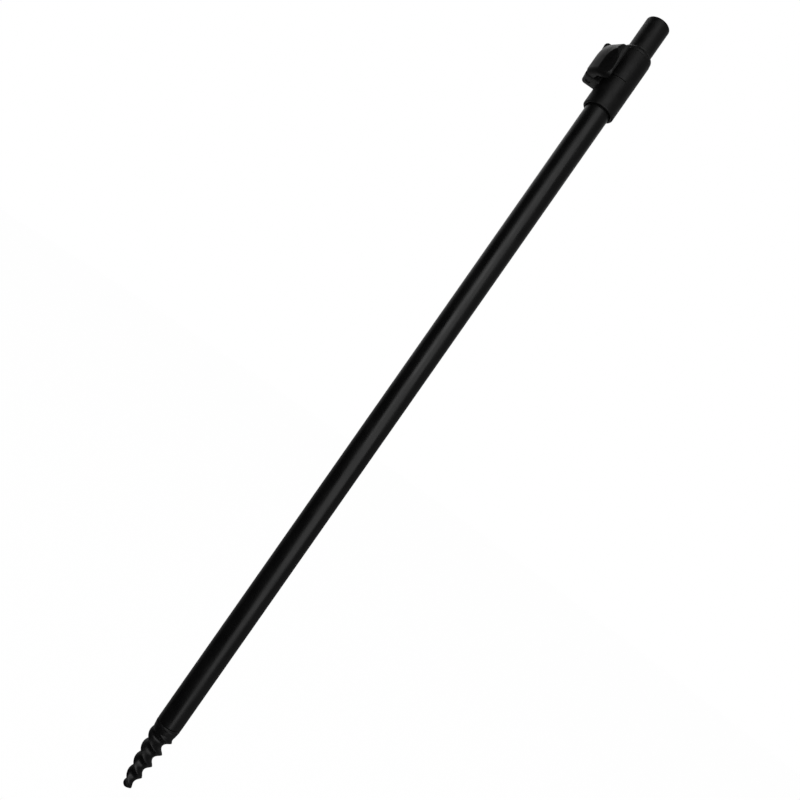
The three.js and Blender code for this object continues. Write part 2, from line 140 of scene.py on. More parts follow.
class BANK_STICK_PG_sizes(bpy.types.PropertyGroup):
    """Sizes that the frame's boxes do not give."""

    facets: count("Facets", "Facets round a turned piece", 160)
    corner_steps: count("Corner steps", "Steps round one corner", 6)
    tube_rows: count("Tube rows", "Rows along each of the outer tube's walls", 60)
    tube_wall: length("Tube wall", "Wall of the outer tube", 0.9)
    tube_edge: length("Tube edge", "Rounding of the outer tube's ends", 0.35)
    tube_bore_edge: length("Tube bore edge", "Rounding of the outer tube's bore at its ends", 0.116667)
    overrun: length("Overrun", "How far a cutting shape runs past what it cuts", 2)
    fine_edge: length("Fine edge", "Rounding of small edges", 0.2)
    crisp_edge: length("Crisp edge", "Rounding of crisp turned edges", 0.1)
    point_rows: count("Point rows", "Rows along the screw point", 400)
    point_facets: count("Point facets", "Facets round the screw point", 120)
    point_crowding: power("Point crowding", "1 spaces the rows evenly, more crowds them at the tip", 1.05)
    point_lead: length("Point lead", "Rise of one turn of the twisted bar", 18.08)
    point_start: share("Point start", "How far round the bar stands at its tip, in turns", 0.459)
    point_crest: length("Point crest", "Half width of the bar at the shoulder", 7.9)
    point_edge: share("Point edge", "How far the crests stand out of the bar, of its half width", 0.06)
    point_edge_power: power("Point edge power", "More makes the standing crests narrower", 24)
    point_tip: length("Point tip", "Half width of the bar at its tip", 2.4)
    point_taper: share("Point taper", "Power of the taper, fuller near the tip when small", 0.6)
    point_thickness: share("Point thickness", "Half thickness of the bar, of its half width", 0.58)
    point_corner: power("Point corner", "Power of the bar's section: 2 is an oval, more is squarer", 2.4)
    point_shoulder: length("Point shoulder", "Height over which the flights run out into the round", 6)
    point_flights: length("Point flights", "Height over which the bar widens, from its tip", 43.7)
    point_round: length("Point round", "Tip to where the round begins", 41.9)
    point_neck: length("Point neck", "How far the round narrows from the shoulder down to the flights", 0.4)
    point_nose: length("Point nose", "Height of the ground tip", 2.6)
    point_nose_power: power("Point nose power", "Power by which the ground tip opens, blunt when small", 0.6)
    point_height: length("Point height", "Tip to the shoulder's top", 46.7)
    point_shoulder_edge: length("Point shoulder edge", "Rounding of the shoulder's upper edge", 0.3)
    shank_radius: length("Shank radius", "Shank of the point inside its socket", 4.1)
    shank_edge: length("Shank edge", "Rounding of the shank's end", 0.6)
    collar_bore: length("Collar bore", "Radius of the collar's bore", 8.3)
    collar_edge: length("Collar edge", "Rounding of the collar's lower edge", 0.8)
    collar_top_edge: length("Collar top edge", "Rounding of the collar's upper edge", 0.3)
    collar_mouth: length("Collar mouth", "Rounding of the bore's lower end", 0.9)
    collar_cut_edge: length("Collar cut edge", "Rounding of the collar's cut edges", 0.18)
    collar_radius: length("Collar radius", "Outside of the collar's sleeve", 10.2)
    slit_height: length("Slit height", "Slit above the collar's lower edge", 19.5)
    slit_width: length("Slit width", "Width of the collar's slit", 0.4)
    slit_reach: length("Slit reach", "How far past the axis the slit runs", 3.6)
    lug_rise: length("Lug rise", "Lug's underside above the collar's lower edge", 12)
    lug_drop: length("Lug drop", "Lug's upper side below the collar's upper edge", 3.1)
    lug_reach: length("Lug reach", "Lug's outer side from the axis", 19.5)
    lug_front: length("Lug front", "Half thickness of the lug", 4.8)
    lug_corner: length("Lug corner", "Rounding of the lug's outer corners", 2.4)
    lug_edge: length("Lug edge", "Rounding of the lug's edges along its depth", 0.4)
    lug_steps: count("Lug steps", "Steps round one of the lug's corners", 8)
    knuckle: length("Knuckle", "Thickness of each knuckle plate", 2.6)
    lug_back_wall: length("Lug back wall", "Wall behind the lug's recess", 1)
    bush_bore: length("Bush bore", "Radius of the bush's bore", 6.6)
    bush_radius: length("Bush radius", "Outside of the bush's sleeve", 8.0)
    bush_flange_edge: length("Bush flange edge", "Rounding of the flange's upper edge", 1.8)
    bush_bore_edge: length("Bush bore edge", "Rounding of the bush's bore at both ends", 0.3)
    bush_seam: length("Bush seam", "Fine gap under the flange, where it sits on the collar", 0.08)
    pin_offset: length("Pin offset", "Lever pin's axis from the stick's axis", 15.5)
    pin_radius: length("Pin radius", "Radius of the lever pin", 1.5)
    pin_edge: length("Pin edge", "Rounding of the pin's ends", 0.4)
    pin_facets: count("Pin facets", "Facets round the lever pin", 64)
    hole_facets: count("Hole facets", "Facets round a hole for the lever pin", 48)
    hub_facets: count("Hub facets", "Facets round the lever's hub and cam", 96)
    hub_radius: length("Hub radius", "Radius of the lever's hub", 3)
    cam_lift: length("Cam lift", "How far the cam stands out of the hub", 0.4)
    cam_lobe: length("Cam lobe", "Radius of the cam's lobe", 2.8)
    lever_gap: length("Lever gap", "Lever's back in front of the lug", 1.2)
    lever_rows: count("Lever rows", "Outlines that the thumb piece's outer form is made of", 72)
    lever_corner: length("Lever corner", "Rounding of the lever's lower outer corner", 3.3)
    lever_edge: length("Lever edge", "Rounding of the lever's edges", 0.6)
    crown_width: length("Crown width", "Width of the lever's upper outer corner", 2.8)
    crown_height: length("Crown height", "Height of the lever's upper outer corner", 10)
    heel_sweep: length("Heel sweep", "How far the lever's outer side moves in towards the front", 8.8)
    heel_power: power("Heel power", "1 is a flat outer side, more bends it", 1.35)
    ridge_in: length("Ridge in", "Lever's ridge from its outer side", 5.75)
    ridge_drop: length("Ridge drop", "Lever's ridge behind its lip", 2)
    lip_width: length("Lip width", "Width of the lever's lip", 1.9)
    lip_proud: length("Lip proud", "How far the lip stands out of the front face", 0.45)
    lip_depth: length("Lip depth", "Depth of the lever's lip", 2.6)
    lip_crest: length("Lip crest", "Rounding of the lip's crest towards the dish", 0.25)
    lip_round: length("Lip round", "Rounding of the lip's free side", 1.1)
    lip_heel: length("Lip heel", "Rounding of the lip's back", 0.6)
    lip_slope: length("Lip slope", "How far the lip's back moves back on its way in", 1.6)
    lip_root: length("Lip root", "Rounding where the lip's back ends", 1.2)
    lip_lean: length("Lip lean", "How far the lip's inner edge leans outwards over the lever's height", 1.2)
    throat_in: length("Throat in", "Lever's inner side from its outer side, at its back", 6.2)
    throat_slope: length("Throat slope", "How far the inner side moves in on its way back", 1.2)
    throat_depth: length("Throat depth", "Inner side's bend behind the lip's back edge", 3.8)
    throat_round: length("Throat round", "Rounding of the inner side's bend", 2)
    throat_edge: length("Throat edge", "Rounding of the inner side's back edge", 0.5)
    lever_foot_round: length("Lever foot round", "Rounding of the lever's front at its lower end", 5)
    lever_top_round: length("Lever top round", "Rounding of the lever's front at its upper end", 0.7)
    scoop_in: length("Scoop in", "Scoop's centre outside the lever's outer side", 10.65)
    scoop_ahead: length("Scoop ahead", "Scoop's centre in front of the lip", 32.6)
    scoop_rise: length("Scoop rise", "Scoop's centre above the lever's lower end", 1.3)
    scoop_radius: length("Scoop radius", "Half width and half depth of the scoop's ellipsoid", 40)
    scoop_height: length("Scoop height", "Half height of the scoop's ellipsoid", 23.3)
    scoop_power: power("Scoop power", "2 is an ellipsoid, more closes the upper end later and faster", 5)
    scoop_rows: count("Scoop rows", "Rows of the scoop's ellipsoid", 160)
    scoop_facets: count("Scoop facets", "Facets round the scoop's ellipsoid", 320)
    scoop_edge: length("Scoop edge", "Rounding of the scoop's rim", 0.25)
    web: length("Web", "Thickness of the web between hub and lever", 3.4)
    fit_gap: length("Fit gap", "Gap between pieces that seat or slide on each other", 0.3)
    inner_rows: count("Inner rows", "Rows along each of the inner tube's walls", 50)
    inner_wall: length("Inner wall", "Wall of the inner tube", 0.9)
    inner_edge: length("Inner edge", "Rounding of the inner tube's ends", 0.25)
    head_edge: length("Head edge", "Rounding of the head's edges", 0.8)
    head_skirt: length("Head skirt", "How much of the inner tube's end the head holds", 8.5)
    socket_radius: length("Socket radius", "Crest radius of the socket's thread", 4.05)
    socket_depth: length("Socket depth", "Depth of the threaded socket", 11.5)
    insert_radius: length("Insert radius", "Body of the threaded insert", 5.35)
    insert_flange: length("Insert flange", "Height of the insert's flange", 1.2)
    insert_edge: length("Insert edge", "Rounding of the insert's foot", 0.3)
    lead_in: length("Lead in", "Chamfer of the socket's mouth", 0.6)
    thread_pitch: length("Thread pitch", "Rise of one turn of the socket's thread", 1.27)
    thread_depth: length("Thread depth", "Depth of the socket's thread", 0.62)
    thread_groove: share("Thread groove", "Half width of the thread's groove, of its pitch", 0.390625)
    thread_flank: share("Thread flank", "Width of one flank of the thread, of its pitch", 0.3125)
    thread_rows: count("Thread rows", "Rows along the threaded bore", 190)
    thread_facets: count("Thread facets", "Facets round the threaded insert", 128)


class BANK_STICK_PG_finishes(bpy.types.PropertyGroup):
    """Colours, roughness and grain of the finishes."""

    tube_colour: colour("Tube colour", "Satin black paint of the tubes", (0.0042, 0.0042, 0.0044))
    tube_roughness: share("Tube roughness", "Roughness of the tube's paint", 0.3)
    point_colour: colour("Point colour", "Black coating of the screw point", (0.005, 0.005, 0.0052))
    point_roughness: share("Point roughness", "Roughness of the screw point", 0.36)
    moulded_colour: colour("Moulded colour", "Black nylon of the collar and lever", (0.0036, 0.0036, 0.0037))
    collar_roughness: share("Collar roughness", "Roughness of the collar", 0.44)
    lever_roughness: share("Lever roughness", "Roughness of the lever", 0.4)
    head_colour: colour("Head colour", "Black paint of the head", (0.0036, 0.0036, 0.0037))
    head_roughness: share("Head roughness", "Roughness of the head", 0.45)
    bush_colour: colour("Bush colour", "Black nylon of the bush", (0.0045, 0.0045, 0.0046))
    bush_roughness: share("Bush roughness", "Roughness of the bush", 0.45)
    bare_colour: colour("Bare colour", "What rubbed edges show", (0.05, 0.05, 0.052))
    dust_colour: colour("Dust colour", "Dry dust, in broad soft patches", (0.09, 0.085, 0.078))
    steel_colour: colour("Steel colour", "Plain bright steel", (0.52, 0.53, 0.54))
    steel_roughness: share("Steel roughness", "Roughness of the plain steel", 0.32)
    black_steel_colour: colour("Black steel colour", "Blackened steel of the lever pin", (0.03, 0.03, 0.032))
    black_steel_roughness: share("Black steel roughness", "Roughness of the lever pin", 0.4)
    brass_colour: colour("Brass colour", "Brass of the threaded insert", (0.62, 0.43, 0.17))
    brass_roughness: share("Brass roughness", "Roughness of the brass", 0.3)
    nylon_colour: colour("Nylon colour", "Dark grey nylon of the inner fittings", (0.03, 0.03, 0.032))
    nylon_roughness: share("Nylon roughness", "Roughness of the inner fittings", 0.5)
    grain_depth: length("Grain depth", "Depth of the finest grain", 0.02)
    mottle: share("Mottle", "How far a finish's colour swings about its mean", 0.2)
    dusty_roughness: level("Dusty roughness", "How much roughness dust adds, of its own amount", 1.5)


class BANK_STICK_PG_studio(bpy.types.PropertyGroup):
    """Studio and camera."""

    lens: level("Lens", "Focal length of the camera, in mm", 33.75)
    sensor: level("Sensor", "Width of the camera's sensor, in mm", 36)
    clip_near: length("Clip near", "Nearest distance that the camera sees", 10)
    clip_far: length("Clip far", "Farthest distance that the camera sees", 50000)
    camera_distance: length("Camera distance", "Camera in front of the stick's axis", 447.8)
    camera_height: length("Camera height", "Camera above the tip, along the stick", 283.1)
    camera_side: length("Camera side", "Camera to the right of the stick's axis", 1.85)
    stick_lean: FloatProperty(
        name="Stick lean",
        description="How far the stick leans to the right in the picture",
        default=math.radians(34.986),
        subtype="ANGLE",
    )
    softbox_distance: length("Softbox distance", "Softbox in front of the stick's axis", 1000)
    softbox_width: length("Softbox width", "Width of the softbox", 1100)
    softbox_height: length("Softbox height", "Height of the softbox", 1900)
    softbox_rise: length("Softbox rise", "Softbox's middle above the camera's line", -200)
    softbox_side: length("Softbox side", "Softbox's middle to the right of the camera's line", 330)
    softbox_power: level("Softbox power", "Power of the softbox, W", 5.3)
    core_size: length("Core size", "Side of the square lamp just in front of the softbox", 450)
    core_ahead: length("Core ahead", "How far the square lamp stands in front of the softbox", 20)
    core_rise: length("Core rise", "Square lamp's middle above the camera's line", 220)
    core_side: length("Core side", "Square lamp's middle to the right of the camera's line", 20)
    core_power: level("Core power", "Power of the square lamp, W", 0.5)
    top_lamp_size: length("Top lamp size", "Side of the lamp behind the stick's upper end", 550)
    top_lamp_place: spot("Top lamp place", "Middle of the top lamp", (-0.77, 0.6, 1.67))
    top_lamp_target: spot("Top lamp target", "What the top lamp is aimed at", (-0.02, 0, 0.515))
    top_lamp_power: level("Top lamp power", "Power of the top lamp, W", 1.6)
    floor_radius: length("Floor radius", "Radius of the round floor", 3000)
    floor_drop: length("Floor drop", "Floor below the tip", 0.1)
    floor_facets: count("Floor facets", "Facets round the floor", 96)
    floor_white: share("Floor white", "How pale the floor is", 0.8)
    floor_glow: level("Floor glow", "Strength of the white that the camera sees on the floor", 1.045)
    glow_share: share("Glow share", "How much of the floor that the camera sees is glow", 0.94)
    ambient: share("Ambient", "Level of the room's light", 0.2)
    room_glow: share("Room glow", "Mirrored room's level towards the right", 0.09)
    room_left: level("Room left", "X of the direction where the mirrored room begins to glow", -0.2)
    room_right: level("Room right", "X of the direction from where the room glows in full", 0.7)
    wing_slope: level("Wing slope", "How fast the room behind brightens with the direction's Y", 1.2)
    wing_start: level("Wing start", "The room behind's level, straight to the side", -0.08)
    wing_rise: level("Wing rise", "How fast the room behind brightens with the direction's Z", 1.3)
    wing_middle: level("Wing middle", "The room behind's share of its level, at the horizon", 0.35)
    wing_low: level("Wing low", "The least share of its level that the room behind has", 0.25)
    wing_dim: share("Wing dim", "The room behind's share of its level, towards the right", 0.45)
    wing_turn: level("Wing turn", "X of the direction by which the room behind has dimmed", 0.3)
    white_behind: share("White behind", "Y of the direction where the white behind the stick begins", 0.95)


def corner_arcs(corners, steps, closed=True):
    """An outline through corners (a, b, radius), each rounded by an arc of its radius.

    An arc's tangent points lie radius / tan(half the corner's angle) from the corner, its centre lies on
    the bisector, and its points turn evenly from one tangent point to the other. A short straight is
    kept before and after each arc, so that shading stays inside it.
    """
    corners = np.array(corners, float)
    corner_count = len(corners)
    outline = []
    for i in range(corner_count):
        here, radius = corners[i, :2], corners[i, 2]
        if radius <= 0 or (not closed and i in (0, corner_count - 1)):
            outline.append(here[None])
            continue
        before = corners[i - 1, :2] - here
        after = corners[(i + 1) % corner_count, :2] - here
        before_room, after_room = np.linalg.norm(before), np.linalg.norm(after)
        before, after = before / before_room, after / after_room
        half = math.acos(np.clip(before @ after, -1, 1)) / 2
        tangent = radius / math.tan(half)
        bisector = (before + after) / np.linalg.norm(before + after)
        centre = here + bisector * radius / math.sin(half)
        start = here + before * tangent - centre
        end = here + after * tangent - centre
        angle = math.pi - 2 * half
        along = np.linspace(0, 1, steps + 1)[:, None]
        arc = (np.sin((1 - along) * angle) * start + np.sin(along * angle) * end) / math.sin(angle)
        hold = HOLD_SHARE * radius
        if before_room > tangent + 2 * hold:
            outline.append((here + before * (tangent + hold))[None])
        outline.append(centre + arc)
        if after_room > tangent + 2 * hold:
            outline.append((here + after * (tangent + hold))[None])
    return np.concatenate(outline)


def surface(name, grid, close_rows=False):
    """A mesh object from a grid of points, rows by closed columns, with coincident points made one."""
    rows, columns = grid.shape[:2]
    row = np.arange(rows if close_rows else rows - 1)
    a, b = np.meshgrid(row, np.arange(columns), indexing="ij")
    next_a, next_b = (a + 1) % rows, (b + 1) % columns
    quads = np.stack(
        [a * columns + b, a * columns + next_b, next_a * columns + next_b, next_a * columns + b], -1
    )
    mesh = bpy.data.meshes.new(name)
    mesh.from_pydata(grid.reshape(-1, 3), [], quads.reshape(-1, 4))
    tidy(mesh)
    obj = bpy.data.objects.new(name, mesh)
    bpy.context.scene.collection.objects.link(obj)
    return obj


def tidy(mesh):
    """Merges coincident points, drops flat faces and turns the faces outwards."""
    work = bmesh.new()
    work.from_mesh(mesh)
    bmesh.ops.remove_doubles(work, verts=work.verts, dist=WELD)
    bmesh.ops.dissolve_degenerate(work, dist=WELD, edges=work.edges)
    bmesh.ops.recalc_face_normals(work, faces=work.faces)
    work.to_mesh(mesh)
    work.free()
    mesh.update()


def revolve(name, outline, facets, centre=(0, 0), on_axis=False):
    """Turns an outline of (radius, height) points round the line X, Y = centre.

    A point is (x + radius cos a, y + radius sin a, height), with a evenly round the circle. The outline
    is a closed one, unless it starts and ends on the axis.
    """
    angle = np.arange(facets) / facets * TURN
    radius, height = outline[:, :1], outline[:, 1:]
    grid = np.stack(
        [
            centre[0] + radius * np.cos(angle),
            centre[1] + radius * np.sin(angle),
            height + 0 * angle,
        ],
        -1,
    )
    return surface(name, grid, close_rows=not on_axis)


def stretched(outline, axis_rows):
    """Adds evenly spaced rows to an outline's two longest straights, so that no quad is long."""
    step = np.linalg.norm(np.roll(outline, -1, 0) - outline, axis=1)
    longest = np.argsort(step)[::-1][:2]
    pieces = []
    for i in range(len(outline)):
        pieces.append(outline[i][None])
        if i in longest and step[i] > 0:
            along = (np.arange(1, axis_rows) / axis_rows)[:, None]
            pieces.append(outline[i] + (outline[(i + 1) % len(outline)] - outline[i]) * along)
    return np.concatenate(pieces)


def rounded_block(name, low, high, radii, steps):
    """A box whose edges are rounded by an ellipsoid.

    A point is the sign of its direction times the inner half size, plus the radii times the direction,
    where the directions are those of a sphere's grid and each half of the grid is carried to its corner.
    """
    low, high, radii = np.array(low), np.array(high), np.array(radii)
    quarter = np.linspace(0, math.pi / 2, steps + 1)
    azimuth = np.concatenate([quarter + math.pi / 2 * k for k in range(4)])
    side_x = np.repeat([1, -1, -1, 1], steps + 1)
    side_y = np.repeat([1, 1, -1, -1], steps + 1)
    polar = np.concatenate([quarter, quarter + math.pi / 2])
    side_z = np.repeat([1, -1], steps + 1)
    direction = np.stack(
        [
            np.sin(polar)[:, None] * np.cos(azimuth),
            np.sin(polar)[:, None] * np.sin(azimuth),
            np.cos(polar)[:, None] + 0 * azimuth,
        ],
        -1,
    )
    side = np.stack(
        [side_x + 0 * polar[:, None], side_y + 0 * polar[:, None], side_z[:, None] + 0 * azimuth], -1
    )
    centre, half = (low + high) / 2, (high - low) / 2 - radii
    grid = centre + side * half + direction * radii
    caps = [centre + [0, 0, s * (half[2] + radii[2])] + 0 * grid[:1] for s in (1, -1)]
    return surface(name, np.concatenate([caps[0], grid, caps[1]]))


def prism(name, outline, low, high):
    """A closed outline in X and Y carried along Z, with flat ends."""
    middle = outline.mean(0) + 0 * outline
    ends = ((low, middle), (low, outline), (high, outline), (high, middle))
    grid = np.stack([np.insert(points, 2, height, axis=1) for height, points in ends])
    return surface(name, grid)


def ellipsoid(name, centre, radii, bulge, rows, facets):
    """An ellipsoid whose upright section bulges by a power: its centre plus the radii times directions.

    A direction is (s cos a, s sin a, c), where s and c are the sine and cosine of the polar angle raised
    to 2 / bulge with their signs kept, so that s to the bulge plus c to the bulge is 1.
    """
    polar = np.linspace(0, math.pi, rows)[:, None]
    angle = np.arange(facets) / facets * TURN
    side = np.abs(np.sin(polar)) ** (2 / bulge)
    rise = np.sign(np.cos(polar)) * np.abs(np.cos(polar)) ** (2 / bulge)
    direction = np.stack([side * np.cos(angle), side * np.sin(angle), rise + 0 * angle], -1)
    return surface(name, np.array(centre) + np.array(radii) * direction)


def box_block(name, low, high):
    """A plain cutting block."""
    outline = np.array([[low[0], low[1]], [high[0], low[1]], [high[0], high[1]], [low[0], high[1]]])
    return prism(name, outline, low[2], high[2])


def rod(name, x, y, radius, low, high, facets):
    """A plain round bar along Z."""
    outline = np.array([[0, low], [radius, low], [radius, high], [0, high]])
    return revolve(name, outline, facets, (x, y), on_axis=True)


def settle(obj):
    """Makes the object's modifiers part of its mesh."""
    depsgraph = bpy.context.evaluated_depsgraph_get()
    shape = obj.evaluated_get(depsgraph)
    mesh = bpy.data.meshes.new_from_object(shape, preserve_all_data_layers=True, depsgraph=depsgraph)
    old = obj.data
    obj.modifiers.clear()
    obj.data = mesh
    bpy.data.meshes.remove(old)
    return obj


def combine(obj, others, operation):
    """Joins, cuts or meets the object with others, which are then removed."""
    for other in others:
        step = obj.modifiers.new(operation.lower(), "BOOLEAN")
        step.operation = operation
        step.solver = "EXACT"
        step.object = other
        settle(obj)
        mesh = other.data
        bpy.data.objects.remove(other)
        bpy.data.meshes.remove(mesh)
    tidy(obj.data)
    return obj


def soften(obj, width, segments=3, angle=math.radians(32)):
    """Rounds the edges that stand sharper than the angle."""
    edge = obj.modifiers.new("edges", "BEVEL")
    edge.width = width
    edge.segments = segments
    edge.limit_method = "ANGLE"
    edge.angle_limit = angle
    edge.use_clamp_overlap = True
    settle(obj)
    tidy(obj.data)
    return obj


def mark_edges(obj, sharp=math.radians(9)):
    """Stores how close each point is to an outer edge, from 0 to 1, as the attribute edge.

    An edge counts when its two faces turn away from each other by more than a few degrees. Its ends
    get 1, and two rounds along the edges spread it, fading on the way.
    """
    mesh = obj.data
    work = bmesh.new()
    work.from_mesh(mesh)
    work.edges.ensure_lookup_table()
    turn = np.array([e.calc_face_angle_signed(0.0) for e in work.edges])
    work.free()
    ends = np.zeros(len(mesh.edges) * 2, np.int32)
    mesh.edges.foreach_get("vertices", ends)
    ends = ends.reshape(-1, 2)
    value = np.zeros(len(mesh.vertices))
    value[ends[turn > sharp].ravel()] = 1
    for _ in range(2):
        total, met = np.zeros_like(value), np.zeros_like(value)
        for a, b in ((0, 1), (1, 0)):
            np.add.at(total, ends[:, a], value[ends[:, b]])
            np.add.at(met, ends[:, a], 1)
        value = np.maximum(value * EDGE_FADE_SHARE, total / np.maximum(met, 1))
    attribute = mesh.attributes.new("edge", "FLOAT", "POINT")
    attribute.data.foreach_set("value", value.astype(np.float32))


def place(obj, body, nodes, material, smooth=math.radians(38)):
    """Gives a finished piece its shading, material and body, in place of its nodes."""
    mesh = obj.data
    mesh.polygons.foreach_set("use_smooth", np.ones(len(mesh.polygons), bool))
    mesh.set_sharp_from_angle(angle=smooth)
    mark_edges(obj)
    mesh.materials.clear()
    mesh.materials.append(material)
    even = obj.modifiers.new("even shading", "WEIGHTED_NORMAL")
    even.mode = "FACE_AREA"
    even.keep_sharp = True
    settle(obj)
    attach(obj, body)
    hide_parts(*nodes)
    return obj


class Tree:
    """A node tree that is filled in short lines."""

    def __init__(self, tree):
        self.tree = tree
        tree.nodes.clear()

    def node(self, kind, **values):
        made = self.tree.nodes.new(kind)
        for name, value in values.items():
            setattr(made, name, value)
        return made

    def join(self, source, target):
        self.tree.links.new(source, target)

    def feed(self, socket, value):
        """Sets a socket to a value, or joins it to another socket."""
        if isinstance(value, bpy.types.NodeSocket):
            self.join(value, socket)
        else:
            socket.default_value = value

    def math(self, operation, *values, clamp=False):
        made = self.node("ShaderNodeMath", operation=operation, use_clamp=clamp)
        for socket, value in zip(made.inputs, values):
            self.feed(socket, value)
        return made.outputs[0]

    def mix(self, factor, a, b):
        made = self.node("ShaderNodeMix", data_type="RGBA")
        for name, value in (("Factor_Float", factor), ("A_Color", a), ("B_Color", b)):
            self.feed(next(s for s in made.inputs if s.identifier == name), value)
        return next(s for s in made.outputs if s.identifier == "Result_Color")

    def spread(self, value, low, high, to_low=0.0, to_high=1.0):
        """Carries low to high onto a new range, smoothly and held at its ends."""
        made = self.node("ShaderNodeMapRange", interpolation_type="SMOOTHSTEP")
        for socket, fed in zip(made.inputs, (value, low, high, to_low, to_high)):
            self.feed(socket, fed)
        return made.outputs[0]


def rgba(value):
    return (*value, 1.0)


def new_group(name, inputs, outputs):
    """A shader node group with named sockets, and its input and output nodes."""
    group = bpy.data.node_groups.new(name, "ShaderNodeTree")
    tree = Tree(group)
    for socket_name, kind, default in inputs:
        socket = group.interface.new_socket(name=socket_name, in_out="INPUT", socket_type=kind)
        socket.default_value = default
    for socket_name, kind in outputs:
        group.interface.new_socket(name=socket_name, in_out="OUTPUT", socket_type=kind)
    return tree, tree.node("NodeGroupInput"), tree.node("NodeGroupOutput")


def fine_grain_group():
    """Fine paint or mould grain: two sizes of noise on Object coordinates, stretched along the stick."""
    tree, given, out = new_group(
        "fine grain",
        [
            ("Scale", "NodeSocketFloat", 2200.0),
            ("Stretch", "NodeSocketFloat", 1.0),
        ],
        [("Grain", "NodeSocketFloat"), ("Mottle", "NodeSocketFloat")],
    )
    coordinates = tree.node("ShaderNodeTexCoord").outputs["Object"]
    squeeze = tree.node("ShaderNodeCombineXYZ")
    squeeze.inputs[0].default_value = 1
    squeeze.inputs[1].default_value = 1
    tree.join(tree.math("DIVIDE", 1.0, given.outputs["Stretch"]), squeeze.inputs[2])
    drawn = tree.node("ShaderNodeVectorMath", operation="MULTIPLY")
    tree.join(coordinates, drawn.inputs[0])
    tree.join(squeeze.outputs[0], drawn.inputs[1])
    for name, part, detail in (
        ("Grain", 1.0, GRAIN_DETAIL),
        ("Mottle", MOTTLE_SCALE_SHARE, MOTTLE_DETAIL),
    ):
        noise = tree.node("ShaderNodeTexNoise")
        noise.inputs["Detail"].default_value = detail
        tree.join(drawn.outputs[0], noise.inputs["Vector"])
        tree.join(tree.math("MULTIPLY", given.outputs["Scale"], part), noise.inputs["Scale"])
        tree.join(noise.outputs["Fac"], out.inputs[name])
    return tree.tree


def edge_rub_group():
    """Rubbed edges: the stored edge attribute, broken up by noise."""
    tree, given, out = new_group(
        "edge rub",
        [("Amount", "NodeSocketFloat", 0.5), ("Scale", "NodeSocketFloat", 500.0)],
        [("Rub", "NodeSocketFloat")],
    )
    edge = tree.node("ShaderNodeAttribute", attribute_name="edge")
    noise = tree.node("ShaderNodeTexNoise")
    noise.inputs["Detail"].default_value = RUB_DETAIL
    tree.join(tree.node("ShaderNodeTexCoord").outputs["Object"], noise.inputs["Vector"])
    tree.join(given.outputs["Scale"], noise.inputs["Scale"])
    broken = tree.spread(noise.outputs["Fac"], *BROKEN_RANGE)
    worn = tree.math("MULTIPLY", tree.spread(edge.outputs["Fac"], *EDGE_RANGE), broken)
    tree.join(tree.math("MULTIPLY", worn, given.outputs["Amount"], clamp=True), out.inputs["Rub"])
    return tree.tree


def dust_group():
    """Light dust in broad soft patches."""
    tree, given, out = new_group(
        "dust",
        [("Amount", "NodeSocketFloat", 0.1), ("Scale", "NodeSocketFloat", 60.0)],
        [("Dust", "NodeSocketFloat")],
    )
    noise = tree.node("ShaderNodeTexNoise")
    noise.inputs["Detail"].default_value = DUST_DETAIL
    tree.join(tree.node("ShaderNodeTexCoord").outputs["Object"], noise.inputs["Vector"])
    tree.join(given.outputs["Scale"], noise.inputs["Scale"])
    patch = tree.spread(noise.outputs["Fac"], *DUST_RANGE)
    tree.join(tree.math("MULTIPLY", patch, given.outputs["Amount"], clamp=True), out.inputs["Dust"])
    return tree.tree


def shared_group(name, maker):
    """The node group of that name, made when it is first asked for."""
    return bpy.data.node_groups.get(name) or maker()


def placed_group(tree, group, **values):
    """A node for the group, with values for its named sockets."""
    made = tree.node("ShaderNodeGroup", node_tree=group)
    for name, value in values.items():
        made.inputs[name].default_value = value
    return made


def finish(name, paint, roughness, **look):
    """One finish: its colour with rubbed edges and dust, and a roughness and bump from its grain."""
    material = bpy.data.materials.get(name)
    if material:
        return material
    settings = {
        "metallic": 0.0,
        "specular": 0.5,
        "grain_scale": 2200.0,
        "stretch": 1.0,
        "bump": 0.05,
        "roughness_swing": 0.06,
        "rub": 0.3,
        "rubbed": rgba(finishes().bare_colour),
        "dust": 0.03,
    }
    settings.update(look)
    material = bpy.data.materials.new(name)
    material.use_nodes = True
    tree = Tree(material.node_tree)
    shader = tree.node("ShaderNodeBsdfPrincipled")
    out = tree.node("ShaderNodeOutputMaterial")
    tree.join(shader.outputs[0], out.inputs["Surface"])
    shader.inputs["Specular IOR Level"].default_value = settings["specular"]
    shader.inputs["Metallic"].default_value = settings["metallic"]
    grain = placed_group(
        tree,
        shared_group("fine grain", fine_grain_group),
        Scale=settings["grain_scale"],
        Stretch=settings["stretch"],
    )
    rub = placed_group(tree, shared_group("edge rub", edge_rub_group), Amount=settings["rub"])
    dust = placed_group(tree, shared_group("dust", dust_group), Amount=settings["dust"])
    deep = tuple(c * (1 - finishes().mottle) for c in paint)
    light = tuple(c * (1 + finishes().mottle) for c in paint)
    base = tree.mix(grain.outputs["Mottle"], rgba(deep), rgba(light))
    dusty = tree.mix(dust.outputs["Dust"], base, rgba(finishes().dust_colour))
    worn = tree.mix(rub.outputs["Rub"], dusty, settings["rubbed"])
    tree.join(worn, shader.inputs["Base Color"])
    swing = settings["roughness_swing"]
    rough = tree.spread(grain.outputs["Mottle"], *NOISE_RANGE, roughness - swing, roughness + swing)
    dulled = tree.math("MULTIPLY", dust.outputs["Dust"], finishes().dusty_roughness)
    rough = tree.math("ADD", rough, dulled, clamp=True)
    tree.join(rough, shader.inputs["Roughness"])
    bump = tree.node("ShaderNodeBump")
    bump.inputs["Strength"].default_value = settings["bump"]
    bump.inputs["Distance"].default_value = finishes().grain_depth
    tree.join(grain.outputs["Grain"], bump.inputs["Height"])
    tree.join(bump.outputs["Normal"], shader.inputs["Normal"])
    return material


